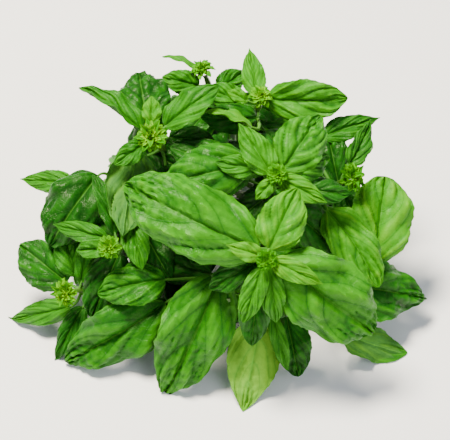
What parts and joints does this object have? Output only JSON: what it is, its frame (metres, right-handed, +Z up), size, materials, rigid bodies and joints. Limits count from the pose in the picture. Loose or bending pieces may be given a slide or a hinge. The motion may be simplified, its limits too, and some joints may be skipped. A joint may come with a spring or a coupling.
{
  "type": "basil bunch",
  "caption": "Loose bunch of fresh sweet basil lying on a surface, its broad glossy leaves in a mound at the front and its square cut stalks gathered behind.",
  "frame": {"origin": "on the surface, under the middle of the gathered stalks, at the flat underside of the middle stalk", "axes": "+Z up from the surface, -Y towards the leafy front of the bunch, +Y along the stalks towards their cut ends, +X to the right as seen from the front"},
  "size_m": [0.2544, 0.2453, 0.1331],
  "materials": {
    "basil_leaf": "satin",
    "basil_bud": "matte"
  },
  "bodies": {
    "root": {"shoot_front": "basil_leaf", "shoot_upper_middle": "basil_leaf", "shoot_upper_left": "basil_leaf", "shoot_top": "basil_leaf", "shoot_top_left": "basil_leaf", "shoot_right": "basil_leaf", "shoot_left": "basil_leaf", "shoot_lower_left": "basil_leaf", "shoot_bottom": "basil_leaf", "shoot_lower_right": "basil_leaf", "shoot_far_left": "basil_leaf", "shoot_back_right": "basil_leaf", "shoot_back_left": "basil_leaf", "shoot_back_middle": "basil_leaf", "shoot_side_left": "basil_leaf", "shoot_side_right": "basil_leaf", "buds_front": "basil_bud", "buds_upper_middle": "basil_bud", "buds_upper_left": "basil_bud", "buds_top": "basil_bud", "buds_top_left": "basil_bud", "buds_right": "basil_bud", "buds_left": "basil_bud", "buds_lower_left": "basil_bud"}
  },
  "joints": []
}
